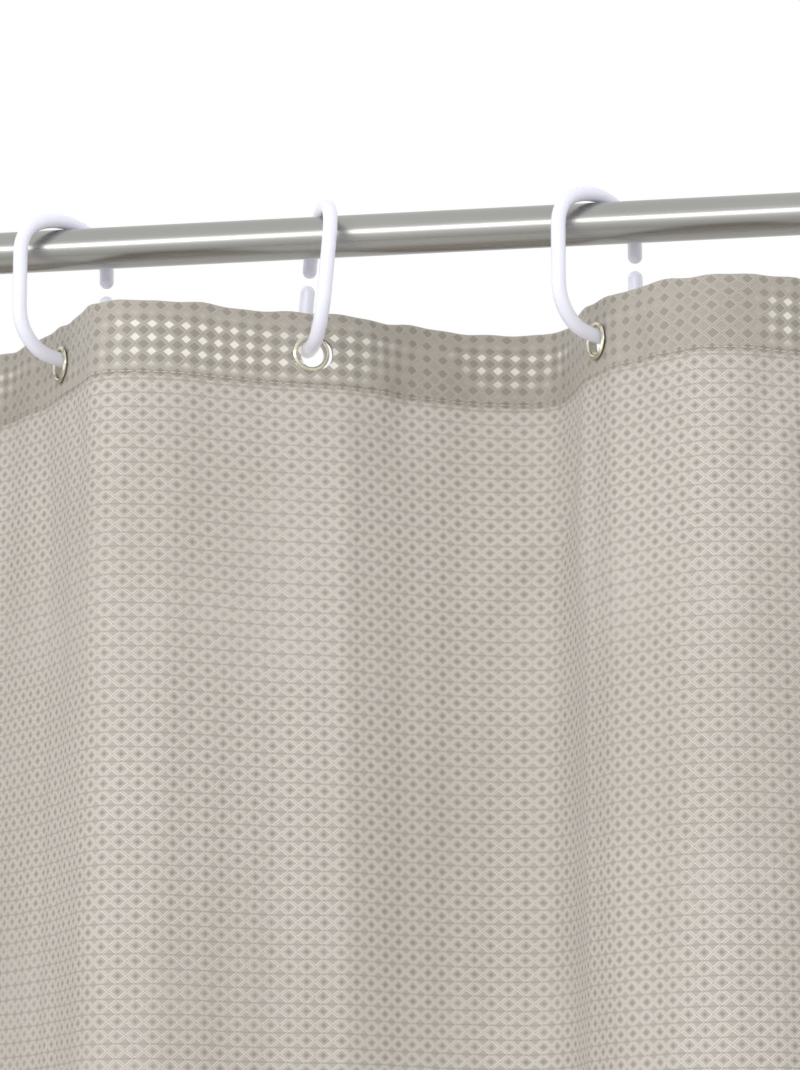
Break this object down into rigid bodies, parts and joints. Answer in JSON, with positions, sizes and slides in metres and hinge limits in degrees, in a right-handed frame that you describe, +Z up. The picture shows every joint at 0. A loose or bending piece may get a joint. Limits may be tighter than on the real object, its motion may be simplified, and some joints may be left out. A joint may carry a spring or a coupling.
{
  "type": "shower curtain",
  "caption": "Pleated fabric shower curtain hung from split plastic rings through metal grommets, on a straight steel rod with round wall flanges.",
  "frame": {"origin": "centre of the left flange's flat back, where it meets the wall, on the rod's axis", "axes": "+X along the rod from the left wall to the right, +Y from the room towards the bath, +Z up"},
  "size_m": [1.3, 0.1043, 2.0588],
  "materials": {
    "stainless": "satin",
    "ring_plastic": "gloss",
    "nickel": "polished",
    "cloth": "jacquard weave with a soft sheen",
    "tape": "matt",
    "thread": "matt",
    "black_steel": "satin"
  },
  "bodies": {
    "rod": {"rod_tube": "stainless", "flange_left": "stainless", "flange_right": "stainless", "grub_screw_left": "black_steel", "grub_screw_right": "black_steel"},
    "curtain": {"curtain_panel": "cloth", "hem_tape": "tape", "stitching_top": "thread", "stitching_bottom": "thread", "stitching_left": "thread", "stitching_right": "thread", "grommet_eyelet_01": "nickel", "grommet_washer_01": "nickel"},
    "grommet_02": {"grommet_eyelet_02": "nickel", "grommet_washer_02": "nickel"},
    "grommet_03": {"grommet_eyelet_03": "nickel", "grommet_washer_03": "nickel"},
    "grommet_04": {"grommet_eyelet_04": "nickel", "grommet_washer_04": "nickel"},
    "grommet_05": {"grommet_eyelet_05": "nickel", "grommet_washer_05": "nickel"},
    "grommet_06": {"grommet_eyelet_06": "nickel", "grommet_washer_06": "nickel"},
    "grommet_07": {"grommet_eyelet_07": "nickel", "grommet_washer_07": "nickel"},
    "grommet_08": {"grommet_eyelet_08": "nickel", "grommet_washer_08": "nickel"},
    "grommet_09": {"grommet_eyelet_09": "nickel", "grommet_washer_09": "nickel"},
    "grommet_10": {"grommet_eyelet_10": "nickel", "grommet_washer_10": "nickel"},
    "grommet_11": {"grommet_eyelet_11": "nickel", "grommet_washer_11": "nickel"},
    "grommet_12": {"grommet_eyelet_12": "nickel", "grommet_washer_12": "nickel"},
    "ring_01": {"ring_01": "ring_plastic"},
    "ring_02": {"ring_02": "ring_plastic"},
    "ring_03": {"ring_03": "ring_plastic"},
    "ring_04": {"ring_04": "ring_plastic"},
    "ring_05": {"ring_05": "ring_plastic"},
    "ring_06": {"ring_06": "ring_plastic"},
    "ring_07": {"ring_07": "ring_plastic"},
    "ring_08": {"ring_08": "ring_plastic"},
    "ring_09": {"ring_09": "ring_plastic"},
    "ring_10": {"ring_10": "ring_plastic"},
    "ring_11": {"ring_11": "ring_plastic"},
    "ring_12": {"ring_12": "ring_plastic"}
  },
  "joints": [
    {"name": "curtain_swing", "type": "hinge", "parent": "rod", "child": "curtain", "pos_m": [0, 0, 0], "axis": [1, 0, 0], "range_deg": [-12, 12]},
    {"name": "curtain_draw", "type": "slide", "parent": "curtain", "child": "grommet_12", "axis": [1, 0, 0], "range_m": [-0.6777, 0], "deforming": ["curtain_panel", "hem_tape", "stitching_top", "stitching_bottom", "stitching_right"]},
    {"name": "grommet_02_slide", "type": "slide", "parent": "curtain", "child": "grommet_02", "axis": [1, 0, 0], "range_m": [-0.05821, 0]},
    {"name": "grommet_03_slide", "type": "slide", "parent": "curtain", "child": "grommet_03", "axis": [1, 0, 0], "range_m": [-0.12392, 0]},
    {"name": "grommet_04_slide", "type": "slide", "parent": "curtain", "child": "grommet_04", "axis": [1, 0, 0], "range_m": [-0.18211, 0]},
    {"name": "grommet_05_slide", "type": "slide", "parent": "curtain", "child": "grommet_05", "axis": [1, 0, 0], "range_m": [-0.24782, 0]},
    {"name": "grommet_06_slide", "type": "slide", "parent": "curtain", "child": "grommet_06", "axis": [1, 0, 0], "range_m": [-0.30601, 0]},
    {"name": "grommet_07_slide", "type": "slide", "parent": "curtain", "child": "grommet_07", "axis": [1, 0, 0], "range_m": [-0.37171, 0]},
    {"name": "grommet_08_slide", "type": "slide", "parent": "curtain", "child": "grommet_08", "axis": [1, 0, 0], "range_m": [-0.42991, 0]},
    {"name": "grommet_09_slide", "type": "slide", "parent": "curtain", "child": "grommet_09", "axis": [1, 0, 0], "range_m": [-0.49561, 0]},
    {"name": "grommet_10_slide", "type": "slide", "parent": "curtain", "child": "grommet_10", "axis": [1, 0, 0], "range_m": [-0.55382, 0]},
    {"name": "grommet_11_slide", "type": "slide", "parent": "curtain", "child": "grommet_11", "axis": [1, 0, 0], "range_m": [-0.61952, 0]},
    {"name": "ring_01_swivel", "type": "hinge", "parent": "curtain", "child": "ring_01", "pos_m": [0.08525, 0, -0.0175], "axis": [0, 0, 1], "range_deg": [-12, 3]},
    {"name": "ring_02_swivel", "type": "hinge", "parent": "grommet_02", "child": "ring_02", "pos_m": [0.18225, 0, -0.0175], "axis": [0, 0, 1], "range_deg": [-9, 9]},
    {"name": "ring_03_swivel", "type": "hinge", "parent": "grommet_03", "child": "ring_03", "pos_m": [0.29175, 0, -0.0175], "axis": [0, 0, 1], "range_deg": [-12, 3]},
    {"name": "ring_04_swivel", "type": "hinge", "parent": "grommet_04", "child": "ring_04", "pos_m": [0.38875, 0, -0.0175], "axis": [0, 0, 1], "range_deg": [-9, 9]},
    {"name": "ring_05_swivel", "type": "hinge", "parent": "grommet_05", "child": "ring_05", "pos_m": [0.49825, 0, -0.0175], "axis": [0, 0, 1], "range_deg": [-12, 3]},
    {"name": "ring_06_swivel", "type": "hinge", "parent": "grommet_06", "child": "ring_06", "pos_m": [0.59525, 0, -0.0175], "axis": [0, 0, 1], "range_deg": [-9, 9]},
    {"name": "ring_07_swivel", "type": "hinge", "parent": "grommet_07", "child": "ring_07", "pos_m": [0.70475, 0, -0.0175], "axis": [0, 0, 1], "range_deg": [-12, 3]},
    {"name": "ring_08_swivel", "type": "hinge", "parent": "grommet_08", "child": "ring_08", "pos_m": [0.80175, 0, -0.0175], "axis": [0, 0, 1], "range_deg": [-9, 9]},
    {"name": "ring_09_swivel", "type": "hinge", "parent": "grommet_09", "child": "ring_09", "pos_m": [0.91125, 0, -0.0175], "axis": [0, 0, 1], "range_deg": [-12, 3]},
    {"name": "ring_10_swivel", "type": "hinge", "parent": "grommet_10", "child": "ring_10", "pos_m": [1.00825, 0, -0.0175], "axis": [0, 0, 1], "range_deg": [-9, 9]},
    {"name": "ring_11_swivel", "type": "hinge", "parent": "grommet_11", "child": "ring_11", "pos_m": [1.11775, 0, -0.0175], "axis": [0, 0, 1], "range_deg": [-12, 3]},
    {"name": "ring_12_swivel", "type": "hinge", "parent": "grommet_12", "child": "ring_12", "pos_m": [1.21475, 0, -0.0175], "axis": [0, 0, 1], "range_deg": [-9, 9]}
  ],
  "couplings": [
    {"joint": "grommet_02_slide", "follows": "curtain_draw", "ratio": 0.085879},
    {"joint": "grommet_03_slide", "follows": "curtain_draw", "ratio": 0.18282},
    {"joint": "grommet_04_slide", "follows": "curtain_draw", "ratio": 0.2687},
    {"joint": "grommet_05_slide", "follows": "curtain_draw", "ratio": 0.36565},
    {"joint": "grommet_06_slide", "follows": "curtain_draw", "ratio": 0.45153},
    {"joint": "grommet_07_slide", "follows": "curtain_draw", "ratio": 0.54847},
    {"joint": "grommet_08_slide", "follows": "curtain_draw", "ratio": 0.63435},
    {"joint": "grommet_09_slide", "follows": "curtain_draw", "ratio": 0.7313},
    {"joint": "grommet_10_slide", "follows": "curtain_draw", "ratio": 0.81718},
    {"joint": "grommet_11_slide", "follows": "curtain_draw", "ratio": 0.91412}
  ]
}
